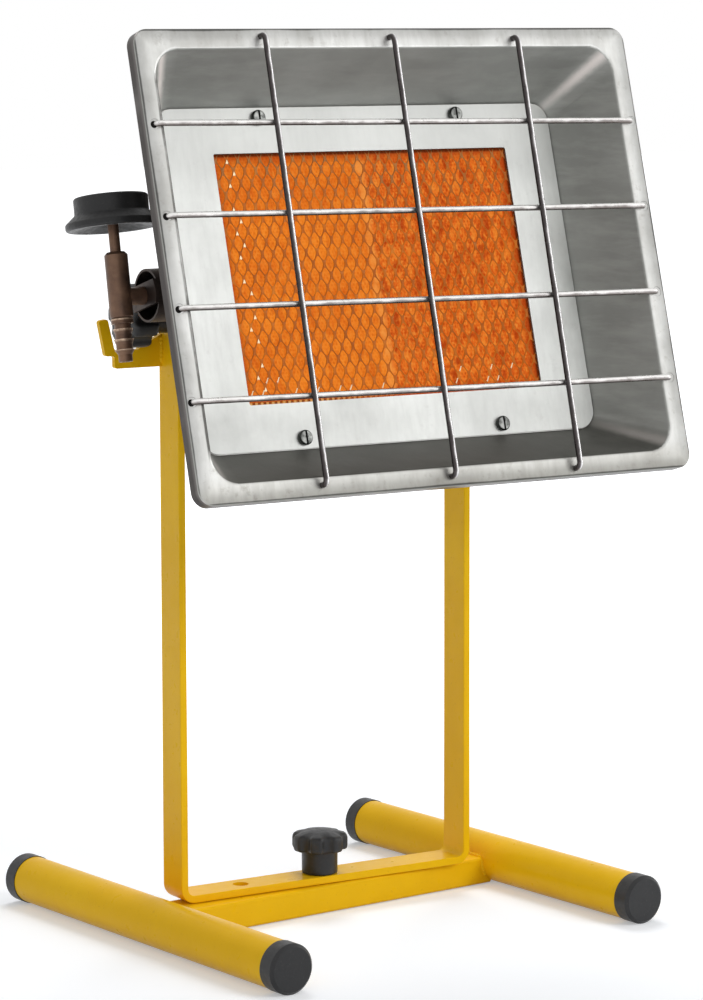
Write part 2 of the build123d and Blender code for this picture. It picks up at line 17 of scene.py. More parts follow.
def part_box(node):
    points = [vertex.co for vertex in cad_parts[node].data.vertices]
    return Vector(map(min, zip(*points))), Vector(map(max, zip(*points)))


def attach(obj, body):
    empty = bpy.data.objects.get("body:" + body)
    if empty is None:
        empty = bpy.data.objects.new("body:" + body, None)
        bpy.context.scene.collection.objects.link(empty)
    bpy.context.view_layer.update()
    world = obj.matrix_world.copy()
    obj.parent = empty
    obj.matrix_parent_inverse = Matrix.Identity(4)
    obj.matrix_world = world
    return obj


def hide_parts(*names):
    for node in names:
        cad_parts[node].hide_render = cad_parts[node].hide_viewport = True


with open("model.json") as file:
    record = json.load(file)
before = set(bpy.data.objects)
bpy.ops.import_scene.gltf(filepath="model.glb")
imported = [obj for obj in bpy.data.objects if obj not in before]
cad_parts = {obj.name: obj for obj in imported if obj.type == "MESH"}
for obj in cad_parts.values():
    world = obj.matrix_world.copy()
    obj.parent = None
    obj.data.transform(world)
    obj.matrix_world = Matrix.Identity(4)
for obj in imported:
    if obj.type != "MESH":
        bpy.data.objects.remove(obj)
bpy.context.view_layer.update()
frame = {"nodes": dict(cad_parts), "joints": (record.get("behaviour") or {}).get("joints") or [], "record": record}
NODES = frame["nodes"]
MM = 0.001

# ---- Frames ---------------------------------------------------------------------------------

TILT = math.radians(15.9)
BASE_TURN = math.radians(5.4)
GUARD_TURN = math.radians(-0.65)


def joint_place(name):
    """Where a joint's axis stands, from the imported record."""
    for joint in frame["joints"]:
        if joint["name"] == name:
            return Vector(joint["pos_m"])


PIVOT = joint_place("head_tilt")
SWIVEL = joint_place("yoke_swivel")
HEAD_U = Vector((1, 0, 0))
HEAD_V = Vector((0, math.sin(TILT), math.cos(TILT)))
HEAD_W = Vector((0, -math.cos(TILT), math.sin(TILT)))
HEAD_RISE = 3.37 * MM
HEAD_TURN = Matrix((HEAD_U, HEAD_V, HEAD_W)).transposed().to_4x4()
HEAD = Matrix.Translation(PIVOT + HEAD_V * HEAD_RISE) @ HEAD_TURN
GUARD = HEAD @ Matrix.Rotation(GUARD_TURN, 4, "Z")
BASE = Matrix.Translation(SWIVEL) @ Matrix.Rotation(BASE_TURN, 4, "Z")
YOKE = Matrix.Translation(SWIVEL)
SIDES = ((-1, "left"), (1, "right"))

# Depths in the head, in millimetres along w
RIM_REACH = 106.16
PLATE_FRONT = 66.16
FLOOR_FRONT = 65.16
MESH_BACK = 64.36
TUBE_REACH = 34.16
# Half width and height of the burner's window and of the reflector's flange, in millimetres
WINDOW = (88.2, 64.25)
RIM_HALF = (146.5, 117.95)
# The joint between the two plaques, along u
PLAQUE_JOINT = -1.5
VALVE_X = -134.8
VALVE_LEAN = math.radians(5.5)
VALVE_PLACE = Matrix.Translation((VALVE_X * MM, 0, TUBE_REACH * MM))
VALVE = HEAD @ VALVE_PLACE @ Matrix.Rotation(VALVE_LEAN, 4, "X")
# The guard's wires, in the guard's own frame
WIRE_RADIUS = 1.5
ROW_SPACING, COLUMN_SPACING, COLUMN_SHIFT = 45.8, 75.3, -0.8
ROW_Y = [(1.5 - i) * ROW_SPACING for i in range(4)]
COLUMN_X = [(i - 1) * COLUMN_SPACING + COLUMN_SHIFT for i in range(3)]


# ---- Node materials -------------------------------------------------------------------------

class Shader:
    """A node material under construction."""

    def __init__(self, name, **inputs):
        self.material = bpy.data.materials.new(name)
        self.material.use_nodes = True
        self.tree = self.material.node_tree
        self.bsdf = self.tree.nodes["Principled BSDF"]
        self.coords = self.tree.nodes.new("ShaderNodeTexCoord")
        for key, value in inputs.items():
            self.bsdf.inputs[key.replace("_", " ")].default_value = value

    def node(self, kind, inputs=(), **settings):
        """Adds a node with its settings, and feeds its inputs."""
        made = self.tree.nodes.new("ShaderNode" + kind)
        for key, value in settings.items():
            setattr(made, key, value)
        for key, value in dict(inputs).items():
            self.feed(made.inputs[key], value)
        return made

    def feed(self, socket, value):
        """Links a socket to another, or gives it a plain value."""
        if isinstance(value, bpy.types.NodeSocket):
            self.tree.links.new(value, socket)
        else:
            socket.default_value = value

    def place(self):
        """The surface's place with the heater at rest, which it keeps when a joint moves."""
        return self.coords.outputs["Object"]

    def noise(self, scale, detail=3.0, roughness=0.55, stretch=None):
        """Noise fixed to the surface; stretch packs it closer along an axis."""
        vector = self.place()
        if stretch:
            vector = self.node("Mapping", {"Vector": vector, "Scale": stretch}).outputs[0]
        made = self.node("TexNoise", {"Vector": vector, "Scale": scale, "Detail": detail,
                                      "Roughness": roughness})
        return made.outputs["Fac"]

    def ramp(self, value, *stops):
        """Maps a value through (position, grey or colour) stops."""
        made = self.node("ValToRGB", {"Fac": value})
        while len(made.color_ramp.elements) < len(stops):
            made.color_ramp.elements.new(0.5)
        for element, (position, colour) in zip(made.color_ramp.elements, stops):
            element.position = position
            if isinstance(colour, (int, float)):
                colour = (colour, colour, colour)
            element.color = (*colour, 1)
        return made.outputs["Color"]

    def span(self, value, low, high, to_low=0.0, to_high=1.0, smooth=False):
        """Maps a value from one span onto another, held at its ends."""
        made = self.node("MapRange", {"Value": value, "From Min": low, "From Max": high,
                                      "To Min": to_low, "To Max": to_high})
        made.interpolation_type = "SMOOTHSTEP" if smooth else "LINEAR"
        return made.outputs["Result"]

    def math(self, operation, a, b=0.0):
        made = self.node("Math", operation=operation)
        self.feed(made.inputs[0], a)
        self.feed(made.inputs[1], b)
        return made.outputs[0]

    def times(self, first, *others):
        """The product of some values."""
        for other in others:
            first = self.math("MULTIPLY", first, other)
        return first

    def distance(self, a, b):
        """How far the point (a, b) is from (0, 0)."""
        return self.math("SQRT", self.math("ADD", self.times(a, a), self.times(b, b)))

    def mix(self, factor, a, b, blend="MIX"):
        made = self.node("Mix", data_type="RGBA", blend_type=blend)
        for index, value in ((0, factor), (6, a), (7, b)):
            if isinstance(value, tuple):
                value = (*value, 1)
            self.feed(made.inputs[index], value)
        return made.outputs[2]

    def frame_coords(self, matrix):
        """The surface's place in a frame, in millimetres, as x, y and z sockets."""
        flat = matrix.inverted()
        origin = tuple(matrix.translation)
        offset = self.node("VectorMath", {0: self.place(), 1: origin}, operation="SUBTRACT")
        found = []
        for row in range(3):
            axis = tuple(flat[row][i] * 1000 for i in range(3))
            dot = self.node("VectorMath", {0: offset.outputs[0], 1: axis}, operation="DOT_PRODUCT")
            found.append(dot.outputs["Value"])
        return found

    def facing(self, direction):
        """How far the surface faces a direction of the rest frame, from -1 to 1."""
        dot = self.node("VectorMath", {0: self.coords.outputs["Normal"], 1: tuple(direction)},
                        operation="DOT_PRODUCT")
        return dot.outputs["Value"]

    def colour(self, socket):
        self.feed(self.bsdf.inputs["Base Color"], socket)

    def roughness(self, socket):
        self.feed(self.bsdf.inputs["Roughness"], socket)

    def bump(self, *layers):
        """Stacks bumps: (height socket, height in metres)."""
        normal = None
        for height, distance in layers:
            made = self.node("Bump", {"Height": height, "Distance": distance, "Strength": 1.0})
            if normal is not None:
                self.feed(made.inputs["Normal"], normal)
            normal = made.outputs["Normal"]
        self.feed(self.bsdf.inputs["Normal"], normal)


def yellow_paint():
    """Powder coat: soft clouds, darker specks and a slight orange peel."""
    s = Shader("yellow_powder_coat", Specular_IOR_Level=0.10)
    broad = s.noise(14, 4)
    fine = s.noise(160, 4)
    hue = s.ramp(broad, (0.30, (0.84, 0.478, 0.004)), (0.52, (0.89, 0.520, 0.005)),
                 (0.75, (0.93, 0.567, 0.008)))
    specks = s.span(s.noise(700, 2), 0.66, 0.74)
    hue = s.mix(s.times(specks, 0.35), hue, (0.62, 0.30, 0.008))
    s.colour(s.mix(s.span(fine, 0.3, 0.8, 0.0, 0.10), hue, (0.70, 0.37, 0.01)))
    s.roughness(s.span(fine, 0.3, 0.7, 0.26, 0.38))
    s.bump((s.noise(620, 2, 0.5), 0.00006), (s.noise(95, 3), 0.00012))
    return s.material


def black_plastic(name="black_moulded_plastic", base=0.016, rough=0.42):
    """Matte moulded plastic with a little pale dust."""
    s = Shader(name, Specular_IOR_Level=0.38)
    broad = s.noise(30, 4)
    fine = s.noise(420, 3)
    low, high = base * 0.8, base * 1.35
    hue = s.ramp(broad, (0.3, (low, low, base * 0.85)), (0.7, (high, high, base * 1.4)))
    dust = s.times(s.span(s.noise(900, 2), 0.60, 0.75), 0.16)
    s.colour(s.mix(dust, hue, (0.09, 0.088, 0.085)))
    s.roughness(s.span(fine, 0.3, 0.7, rough - 0.08, rough + 0.10))
    s.bump((s.noise(2200, 2), 0.00003), (s.noise(260, 3), 0.00005))
    return s.material


def zinc_steel():
    """Mottled zinc plating on studs and nuts."""
    s = Shader("zinc_plated_steel", Metallic=1.0)
    mottled = s.noise(240, 4)
    s.colour(s.ramp(mottled, (0.3, (0.36, 0.35, 0.33)), (0.7, (0.60, 0.59, 0.56))))
    s.roughness(s.span(mottled, 0.3, 0.7, 0.26, 0.42))
    s.bump((s.noise(1500, 3), 0.00002), (s.noise(300, 2), 0.00003))
    return s.material


def screw_steel_painted_highlight():
    """Pan heads: dark, with a patchy painted highlight on top and painted shade round the side and in the slot."""
    s = Shader("screw_steel_painted_highlight", Metallic=0.9)
    w = s.frame_coords(HEAD)[2]
    mottled = s.noise(420, 4)
    hue = s.ramp(mottled, (0.3, (0.018, 0.020, 0.018)), (0.55, (0.045, 0.048, 0.045)),
                 (0.75, (0.12, 0.125, 0.118)))
    # painted highlight on the face of the head above the slot, broken up by noise
    above_slot = s.span(w, PLATE_FRONT + 1.7, PLATE_FRONT + 2.2)
    wear_and_highlight = s.times(s.span(s.facing(HEAD_W), 0.80, 0.98), above_slot,
                   s.span(s.noise(330, 3), 0.36, 0.58, 0.25, 1.0))
    s.colour(s.mix(wear_and_highlight, hue, (0.46, 0.47, 0.45)))
    s.roughness(s.span(mottled, 0.3, 0.7, 0.24, 0.40))
    s.bump((s.noise(1500, 3), 0.00002))
    return s.material


def front_plate_steel():
    """Stainless plate: pale, with soft clouds, vertical rolling streaks and faint darker spots, darker towards the
    top.
    """
    s = Shader("satin_plate", Metallic=1.0, Anisotropic=0.3)
    clouds = s.noise(17, 5, 0.6)
    streaks = s.noise(55, 4, 0.6, stretch=(5, 1, 1))
    spots = s.noise(150, 4, 0.65)
    base = s.ramp(clouds, (0.28, (0.57, 0.58, 0.56)), (0.44, (0.70, 0.71, 0.685)),
                  (0.58, (0.79, 0.80, 0.775)), (0.76, (0.86, 0.87, 0.845)))
    base = s.mix(s.span(streaks, 0.42, 0.72, 0.0, 0.30), base, (0.58, 0.585, 0.565))
    base = s.mix(s.span(spots, 0.60, 0.78, 0.0, 0.30), base, (0.50, 0.49, 0.47))
    v = s.frame_coords(HEAD)[1]
    # darker towards the top, in patches
    darker_top = s.times(s.span(v, 40, 80, 0.0, 0.55), s.span(clouds, 0.35, 0.65, 0.5, 1.0))
    s.colour(s.mix(darker_top, base, (0.56, 0.565, 0.545)))
    s.roughness(s.span(clouds, 0.3, 0.7, 0.34, 0.50))
    s.bump((s.noise(800, 3), 0.000015), (streaks, 0.00005), (s.noise(9, 2), 0.0007))
    return s.material


def flange_colour(s, v, inset, clouds, streaks):
    """The bright flange: painted shade at the rolled edge, painted highlight where it bends in, a little darker
    and warmer at the bottom.
    """
    spots = s.noise(190, 4, 0.65)
    hue = s.ramp(clouds, (0.28, (0.44, 0.435, 0.415)), (0.48, (0.58, 0.58, 0.56)),
                 (0.70, (0.72, 0.72, 0.70)))
    hue = s.mix(s.span(streaks, 0.42, 0.70, 0.0, 0.35), hue, (0.38, 0.37, 0.345))
    hue = s.mix(s.span(spots, 0.58, 0.76, 0.0, 0.45), hue, (0.27, 0.25, 0.22))
    # painted shade towards the rolled outer edge and a painted highlight at the inner bend
    shade = s.ramp(s.span(inset, 0.0, 10.0), (0.0, 0.16), (0.085, 0.20), (0.14, 0.70), (0.40, 0.80),
                   (0.66, 1.0), (0.90, 1.10))
    hue = s.mix(1.0, hue, shade, blend="MULTIPLY")
    low = s.span(v, -RIM_HALF[1] + 14, -RIM_HALF[1] + 2, 0.0, 0.75)
    return s.mix(low, hue, s.mix(1.0, hue, (0.76, 0.745, 0.70), blend="MULTIPLY"))


def wall_colour(s, v, w):
    """The tray's walls in painted shade, darkest on the bottom wall, with painted highlights in the pressed
    corners.
    """
    clouds = s.noise(11, 5, 0.62)
    streaks = s.noise(34, 4, 0.6, stretch=(1, 1, 5))
    hue = s.ramp(clouds, (0.28, (0.270, 0.274, 0.256)), (0.52, (0.335, 0.338, 0.316)),
                 (0.76, (0.410, 0.412, 0.385)))
    hue = s.mix(s.span(streaks, 0.45, 0.72, 0.0, 0.45), hue, (0.47, 0.47, 0.445))
    # more painted shade on the bottom wall, which faces up
    bottom_wall_shade = s.span(s.facing(HEAD_V), 0.25, 0.60)
    hue = s.mix(bottom_wall_shade, hue, s.mix(1.0, hue, (0.37, 0.365, 0.35), blend="MULTIPLY"))
    # painted highlights along the pressed corners, stronger towards the top and the front
    sideways = s.math("ABSOLUTE", s.facing(HEAD_U))
    upright = s.math("ABSOLUTE", s.facing(HEAD_V))
    corner_highlight = s.span(s.math("MINIMUM", sideways, upright), 0.34, 0.62, 0.0, 1.0, smooth=True)
    corner_highlight = s.times(corner_highlight, s.span(v, -60, 60, 0.35, 1.0), s.span(w, 68, 88, 0.45, 1.0))
    return s.mix(corner_highlight, hue, (0.86, 0.80, 0.76))


def outside_colour(s, w, clouds, streaks):
    """The rolled lip in near-black painted shade, and the outside of the tray in mid-grey painted shade."""
    lip = s.ramp(s.noise(26, 4, 0.6), (0.3, (0.030, 0.025, 0.022)), (0.6, (0.055, 0.048, 0.045)),
                 (0.8, (0.11, 0.10, 0.095)))
    lip = s.mix(s.span(w, RIM_REACH - 3.5, RIM_REACH - 0.6), lip, (0.135, 0.122, 0.115))
    back = s.ramp(clouds, (0.28, (0.17, 0.16, 0.15)), (0.50, (0.25, 0.24, 0.23)),
                  (0.74, (0.34, 0.335, 0.32)))
    back = s.mix(s.span(streaks, 0.42, 0.70, 0.0, 0.35), back, (0.20, 0.185, 0.17))
    return s.mix(s.span(w, RIM_REACH - 7.4, RIM_REACH - 8.6), lip, back)


# Where the painted shade at the flange's turned-in edge fades in: inward from the rim, towards the left and away
# from the corners
CREASE_INSET = (8.1, 8.7)
CREASE_U = (-122, -134)
CREASE_V = (97, 91)


def reflector_steel():
    """Pressed stainless tray: bright flange, with painted shade on its rolled edge and walls and painted
    highlights in the corners.
    """
    s = Shader("satin_reflector", Anisotropic=0.3, Specular_IOR_Level=0.3)
    u, v, w = s.frame_coords(HEAD)
    toward = s.facing(HEAD_W)
    clouds = s.noise(22, 5, 0.6)
    streaks = s.noise(60, 4, 0.6, stretch=(4, 1, 1))
    across = s.math("SUBTRACT", RIM_HALF[0], s.math("ABSOLUTE", u))
    along = s.math("SUBTRACT", RIM_HALF[1], s.math("ABSOLUTE", v))
    inset = s.math("ADD", s.math("MINIMUM", across, along), s.span(clouds, 0.3, 0.7, -0.35, 0.35))
    inside = s.times(s.span(toward, 0.74, 0.93, 1.0, 0.0, smooth=True),
                     s.span(toward, 0.14, 0.26, 0.0, 1.0, smooth=True))
    base = s.mix(inside, flange_colour(s, v, inset, clouds, streaks), wall_colour(s, v, w))
    # painted shade where the flange's left side turns in, broken up by the streaks
    crease_shade = s.times(s.span(inset, *CREASE_INSET), s.span(w, RIM_REACH - 3.6, RIM_REACH - 2.6),
                     s.span(u, *CREASE_U), s.span(s.math("ABSOLUTE", v), *CREASE_V),
                     s.span(streaks, 0.36, 0.56, 0.55, 0.95))
    base = s.mix(crease_shade, base, (0.085, 0.082, 0.076))
    s.colour(s.mix(s.span(toward, 0.30, 0.10), base, outside_colour(s, w, clouds, streaks)))
    s.feed(s.bsdf.inputs["Metallic"], s.span(inside, 0.0, 1.0, 0.95, 0.45))
    s.roughness(s.math("ADD", s.span(clouds, 0.3, 0.7, 0.30, 0.44), s.span(inside, 0.0, 1.0, 0.0, 0.16)))
    s.bump((s.noise(800, 3), 0.000018), (streaks, 0.00008), (s.noise(9, 2), 0.0009))
    return s.material


def guard_steel(name, light_side, stops):
    """Drawn wire: a painted highlight towards the lit side and painted shade towards the other, with small stains.
    """
    s = Shader(name, Metallic=0.9, Anisotropic=0.4)
    # painted light and shade, by how far the wire faces the lit side
    turned = s.math("ADD", s.facing(light_side), s.span(s.noise(120, 4), 0.3, 0.7, -0.22, 0.22))
    hue = s.ramp(s.span(turned, -1.0, 1.0), *stops)
    s.colour(s.mix(s.span(s.noise(600, 3), 0.62, 0.76, 0.0, 0.40), hue, (0.11, 0.085, 0.072)))
    s.roughness(s.span(s.noise(90, 3), 0.3, 0.7, 0.22, 0.36))
    s.bump((s.noise(1100, 3), 0.00003))
    return s.material


def burner_steel():
    """Steel browned and blackened by the burner's heat."""
    s = Shader("heat_darkened_steel", Metallic=0.8)
    clouds = s.noise(38, 5, 0.6)
    s.colour(s.ramp(clouds, (0.25, (0.022, 0.017, 0.015)), (0.48, (0.055, 0.040, 0.034)),
                    (0.62, (0.100, 0.078, 0.062)), (0.80, (0.17, 0.155, 0.145))))
    s.roughness(s.span(clouds, 0.3, 0.7, 0.40, 0.60))
    s.bump((s.noise(700, 4), 0.00005), (s.noise(120, 3), 0.00012))
    return s.material


def box_steel():
    """Aluminised sheet behind the burner, dulled and browned by heat."""
    s = Shader("dull_sheet_steel", Metallic=0.85)
    clouds = s.noise(13, 4, 0.55)
    spangle = s.noise(150, 3, 0.6)
    hue = s.ramp(clouds, (0.28, (0.105, 0.090, 0.080)), (0.50, (0.165, 0.150, 0.138)),
                 (0.74, (0.235, 0.225, 0.212)))
    s.colour(s.mix(s.span(spangle, 0.45, 0.70, 0.0, 0.30), hue, (0.29, 0.28, 0.27)))
    s.roughness(s.span(clouds, 0.3, 0.7, 0.42, 0.56))
    s.bump((s.noise(900, 3), 0.00002), (s.noise(8, 2), 0.0008))
    return s.material


def window_shadow(s, u, v, top, side):
    """The shadow of the window's top and right edges: how far inside each it starts and is full."""
    return s.math("MAXIMUM", s.span(v, WINDOW[1] - top[0], WINDOW[1] - top[1]),
                  s.span(u, WINDOW[0] - side[0], WINDOW[0] - side[1]))


def mesh_steel(name, pale):
    """Expanded metal in front of the glow: orange-brown strands, greener near the upper edge.

    pale is how far the colour and glow go towards a straw painted highlight, on facets that catch the light.
    """
    s = Shader(name, Metallic=0.3, Specular_IOR_Level=0.2)
    u, v, _ = s.frame_coords(HEAD)
    clouds = s.noise(260, 4)
    hue = s.ramp(clouds, (0.30, (0.035, 0.016, 0.005)), (0.60, (0.070, 0.034, 0.010)),
                 (0.80, (0.15, 0.10, 0.045)))
    greener = s.times(s.span(v, 34, 58, 0.0, 0.6), s.span(s.noise(120, 3), 0.35, 0.6))
    hue = s.mix(greener, hue, (0.17, 0.16, 0.075))
    heat = s.ramp(s.noise(110, 4), (0.3, (0.34, 0.070, 0.004)), (0.52, (0.47, 0.105, 0.006)),
                  (0.74, (0.62, 0.17, 0.012)))
    strength = s.span(greener, 0.0, 0.9, 0.85, 0.35)
    if pale:
        hue = s.mix(pale, hue, (0.80, 0.70, 0.46))
        heat = s.mix(pale, heat, (0.80, 0.66, 0.46))
        strength = 0.70
    s.colour(hue)
    s.feed(s.bsdf.inputs["Emission Color"], heat)
    lit = s.math("SUBTRACT", 1.0, window_shadow(s, u, v, (1.6, 0.4), (1.2, -0.2)))
    rays = s.node("LightPath")
    seen = s.times(s.span(rays.outputs["Is Camera Ray"], 0.0, 1.0, 0.2, 1.0), lit)
    s.feed(s.bsdf.inputs["Emission Strength"], s.times(seen, strength))
    s.roughness(s.span(clouds, 0.3, 0.7, 0.34, 0.5))
    s.bump((s.noise(2500, 3), 0.00002))
    return s.material


FLAME_HOLE_PITCH = 2.2
ROW_SHARE = 0.866  # height of a row of holes set in triangles, as a share of their pitch


def flame_holes(s, u, v):
    """1 in a flame hole and 0 between the holes, which stand in staggered rows."""
    row = s.math("DIVIDE", v, FLAME_HOLE_PITCH * ROW_SHARE)
    odd = s.math("MODULO", s.math("ABSOLUTE", s.math("FLOOR", row)), 2.0)
    column = s.math("ADD", s.math("DIVIDE", u, FLAME_HOLE_PITCH), s.times(odd, 0.5))
    cell_u = s.math("SUBTRACT", s.math("FRACT", column), 0.5)
    cell_v = s.times(s.math("SUBTRACT", s.math("FRACT", row), 0.5), ROW_SHARE)
    return s.span(s.distance(cell_u, cell_v), 0.22, 0.36, 1.0, 0.0, smooth=True)


def glowing_ceramic(name, hot, middle, cool, grain):
    """A burner plaque: rows of fine flame holes that glow, redder at its rim, paler at the joint.

    grain is how strongly the glow breaks up into blotches and flecks.
    """
    s = Shader(name, IOR=1.45, Roughness=0.85, Specular_IOR_Level=0.1)
    u, v, _ = s.frame_coords(HEAD)
    hole = flame_holes(s, u, v)
    glow = s.ramp(s.noise(38, 4, 0.65), (0.32, middle), (0.68, hot))
    glow = s.mix(s.times(hole, s.span(s.noise(210, 3), 0.40, 0.62, 0.0, 0.5), grain), glow, cool)
    flecks = s.noise(820, 2, 0.6, stretch=(1, 1, 0.45))
    glow = s.mix(s.times(s.span(flecks, 0.54, 0.66), 0.62 * grain), glow, (0.90, 0.34, 0.050))
    glow = s.mix(s.times(s.span(flecks, 0.46, 0.36), 0.62 * grain), glow, cool)
    blotch = s.noise(150, 3, 0.55, stretch=(1.6, 1, 0.8))
    glow = s.mix(s.times(s.span(blotch, 0.52, 0.66), grain), glow, cool)
    glow = s.mix(s.times(s.span(blotch, 0.46, 0.34), 0.6 * grain), glow, (0.90, 0.27, 0.030))
    embers = s.noise(330, 3, 0.6)
    glow = s.mix(s.span(embers, 0.58, 0.76, 0.0, 0.35), glow, (0.96, 0.32, 0.04))
    # the pale, wavering joint between the plaques
    wobble = s.times(s.math("SUBTRACT", s.noise(70, 2), 0.5), 5.0)
    from_joint = s.math("ABSOLUTE", s.math("SUBTRACT", s.math("ADD", u, wobble), PLAQUE_JOINT))
    joint = s.times(s.span(from_joint, 1.2, 3.6, 1.0, 0.0, smooth=True),
                    s.span(s.noise(190, 3), 0.35, 0.62, 0.25, 0.80))
    glow = s.mix(joint, glow, (0.93, 0.33, 0.060))
    # cooler rims, the window's shadow and the dashed strip at the bottom left
    side = s.span(s.math("ABSOLUTE", u), WINDOW[0] - 7.0, WINDOW[0] + 1.0, smooth=True)
    ends = s.span(s.math("ABSOLUTE", v), WINDOW[1] - 7.5, WINDOW[1] + 1.0, smooth=True)
    glow = s.mix(s.math("MAXIMUM", side, ends), glow, (0.40, 0.045, 0.004))
    shadow = s.times(window_shadow(s, u, v, (1.8, 0.6), (0.4, -0.6)), 0.85)
    glow = s.mix(shadow, glow, (0.040, 0.008, 0.002))
    dash = s.span(s.math("FRACT", s.math("DIVIDE", u, 3.2)), 0.40, 0.55)
    strip = s.times(s.span(v, -WINDOW[1] + 1.9, -WINDOW[1] + 1.3), s.span(u, 5, -45))
    glow = s.mix(s.times(strip, 0.8), glow, s.mix(dash, (0.70, 0.42, 0.14), (0.10, 0.035, 0.010)))
    s.colour(s.mix(hole, (0.085, 0.026, 0.008), (0.030, 0.008, 0.002)))
    s.feed(s.bsdf.inputs["Emission Color"], glow)
    rays = s.node("LightPath")
    s.feed(s.bsdf.inputs["Emission Strength"], s.span(rays.outputs["Is Camera Ray"], 0.0, 1.0, 0.06, 0.90))
    s.bump((s.math("SUBTRACT", 1.0, hole), 0.0004), (embers, 0.00015))
    return s.material


def ceramic_fibre():
    """Pale fibre gasket with streaks of loose fibres."""
    s = Shader("ceramic_fibre", Roughness=0.95, Sheen_Weight=0.3)
    fibres = s.noise(300, 5, 0.7, stretch=(1, 5, 1))
    s.colour(s.ramp(fibres, (0.3, (0.55, 0.48, 0.38)), (0.7, (0.82, 0.78, 0.70))))
    s.bump((fibres, 0.0003))
    return s.material


def tarnished_brass(ridges=False):
    """Brass browned by heat; with ridges, the hose barb's ridges are rubbed bright."""
    s = Shader("tarnished_brass" + ("_ridged" if ridges else ""), Metallic=0.55)
    clouds = s.noise(70, 5, 0.6)
    grain = s.noise(420, 4, 0.6)
    hue = s.ramp(clouds, (0.28, (0.065, 0.038, 0.028)), (0.52, (0.145, 0.080, 0.050)),
                 (0.74, (0.235, 0.135, 0.082)))
    hue = s.mix(s.span(grain, 0.55, 0.75, 0.0, 0.35), hue, (0.17, 0.10, 0.06))
    if ridges:
        u, v, w = s.frame_coords(VALVE)
        radius = s.distance(u, w)
        collar = s.times(s.span(radius, 5.15, 5.35), s.span(v, -11.5, -12.0))
        # the crests of the ridges, rubbed bright by wear
        wear_and_highlight = s.times(s.span(radius, 4.6, 5.0), s.span(v, -10.6, -11.2),
                       s.span(s.noise(500, 3), 0.35, 0.6, 0.3, 1.0), s.math("SUBTRACT", 1.0, collar))
        hue = s.mix(wear_and_highlight, hue, (0.62, 0.45, 0.32))
    s.colour(hue)
    s.roughness(s.span(clouds, 0.3, 0.7, 0.36, 0.52))
    s.bump((grain, 0.00003), (s.noise(200, 3), 0.00005))
    return s.material


def spot_weld_metal():
    """Dark, burnt nuggets where the guard's wires cross."""
    s = Shader("spot_weld", Metallic=0.9)
    clouds = s.noise(500, 4)
    s.colour(s.ramp(clouds, (0.3, (0.012, 0.012, 0.014)), (0.7, (0.07, 0.065, 0.06))))
    s.roughness(s.span(clouds, 0.3, 0.7, 0.35, 0.55))
    s.bump((clouds, 0.0001))
    return s.material


def hole_shade():
    """Painted shade: a dark disc standing for the shade inside a hole."""
    s = Shader("painted_hole_shade", Roughness=0.9, Specular_IOR_Level=0.1)
    s.colour(s.ramp(s.noise(300, 3), (0.3, (0.004, 0.004, 0.004)), (0.7, (0.014, 0.012, 0.011))))
    s.bump((s.noise(900, 3), 0.00003))
    return s.material


YELLOW = yellow_paint()
BLACK = black_plastic()
DARK_WHEEL = black_plastic("dark_wheel_plastic", base=0.008, rough=0.46)
ZINC = zinc_steel()
SCREW = screw_steel_painted_highlight()
PLATE = front_plate_steel()
SHELL = reflector_steel()
# stops of painted shade and painted highlight round each wire, from its side away from the light to its lit side
WIRE = guard_steel("drawn_wire_rows", HEAD_V, (
    (0.10, (0.14, 0.12, 0.11)), (0.34, (0.32, 0.30, 0.29)), (0.50, (0.80, 0.78, 0.76)),
    (0.85, (0.92, 0.91, 0.89))))
UPRIGHT_WIRE = guard_steel("drawn_wire_uprights", HEAD_U, (
    (0.16, (0.060, 0.052, 0.052)), (0.34, (0.12, 0.11, 0.11)), (0.46, (0.42, 0.41, 0.41)),
    (0.62, (0.80, 0.79, 0.79)), (0.86, (0.30, 0.29, 0.29))))
BURNER = burner_steel()
BOX = box_steel()
MESH = mesh_steel("heated_mesh", 0)
# painted highlights that glow, on the mesh's facets that catch the light
MESH_GLINT = mesh_steel("mesh_painted_glints", 0.75)
PLAQUE_LEFT = glowing_ceramic("glowing_plaque_left", (0.93, 0.250, 0.017), (0.76, 0.150, 0.009),
                              (0.56, 0.080, 0.004), 0.50)
PLAQUE_RIGHT = glowing_ceramic("glowing_plaque_right", (0.83, 0.165, 0.013), (0.70, 0.112, 0.008),
                               (0.44, 0.048, 0.003), 0.95)
FIBRE = ceramic_fibre()
BRASS = tarnished_brass()
RIDGED_BRASS = tarnished_brass(ridges=True)
SPOT = spot_weld_metal()
HOLE_SHADE = hole_shade()

# The finish of each of the record's material slots
FINISHES = {
    "yellow_paint": YELLOW,
    "black_plastic": BLACK,
    "zinc_steel": ZINC,
    "stainless_sheet": SHELL,
    "guard_wire": WIRE,
    "burner_steel": BURNER,
    "mesh_wire": MESH,
    "glowing_ceramic": PLAQUE_LEFT,
    "ceramic_fibre": FIBRE,
    "tarnished_brass": BRASS,
}
# Nodes whose finish differs from the rest of their slot
OWN_FINISH = {
    "burner_box": BOX,
    "head_bracket_left": BOX,
    "head_bracket_right": BOX,
    "valve_handwheel": DARK_WHEEL,
    "plate_screws": SCREW,
    "guard_wire_upright_1": UPRIGHT_WIRE,
    "guard_wire_upright_2": UPRIGHT_WIRE,
    "guard_wire_upright_3": UPRIGHT_WIRE,
    "front_plate": PLATE,
    "plaque_right": PLAQUE_RIGHT,
    "valve_body": RIDGED_BRASS,
    "hose_barb": RIDGED_BRASS,
}


def dress_nodes():
    """Gives every CAD node its finish."""
    for subpart in frame["record"]["subparts"]:
        name = subpart["node"]
        material = OWN_FINISH.get(name, FINISHES[subpart["material_slot"]])
        mesh = NODES[name].data
        mesh.materials.clear()
        mesh.materials.append(material)


dress_nodes()


# ---- Pieces ---------------------------------------------------------------------------------

